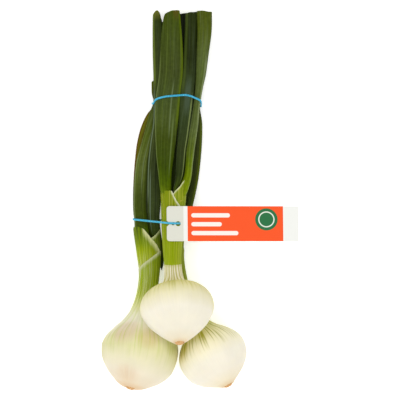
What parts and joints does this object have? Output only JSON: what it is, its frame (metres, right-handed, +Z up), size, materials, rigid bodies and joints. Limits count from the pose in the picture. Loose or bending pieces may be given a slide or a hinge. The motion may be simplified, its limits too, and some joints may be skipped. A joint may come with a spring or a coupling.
{
  "type": "spring onion bunch",
  "caption": "Bunch of large spring onions lying down: pale bulbs, ribbed green necks, hollow cut leaves, blue elastic bands and a blank orange label tag.",
  "frame": {"origin": "centre of the bounding box in X and Y, on the surface that the bunch lies on", "axes": "+Y along the bunch from the bulbs to the cut leaf ends, +X towards the tag's free end, +Z up from the surface"},
  "size_m": [0.1436, 0.277, 0.0873],
  "materials": {
    "onion_flesh": "satin",
    "leaf_wide": "satin",
    "leaf_bright": "satin",
    "leaf_dark": "satin",
    "leaf_olive": "satin",
    "root_plate": "matte",
    "elastic": "satin",
    "tag": "satin"
  },
  "bodies": {
    "root": {"onion_front": "onion_flesh", "onion_left": "onion_flesh", "onion_right": "onion_flesh", "root_plate_front": "root_plate", "root_plate_left": "root_plate", "root_plate_right": "root_plate", "front_leaf_wide": "leaf_wide", "front_leaf_bright": "leaf_bright", "front_leaf_middle": "leaf_dark", "left_leaf_dark": "leaf_dark", "left_leaf_broad": "leaf_wide", "left_leaf_olive": "leaf_olive", "right_leaf_middle": "leaf_dark", "right_leaf_outer": "leaf_dark", "right_leaf_low": "leaf_dark", "elastic_band_upper": "elastic", "elastic_band_lower": "elastic", "label_tag": "tag"}
  },
  "joints": []
}
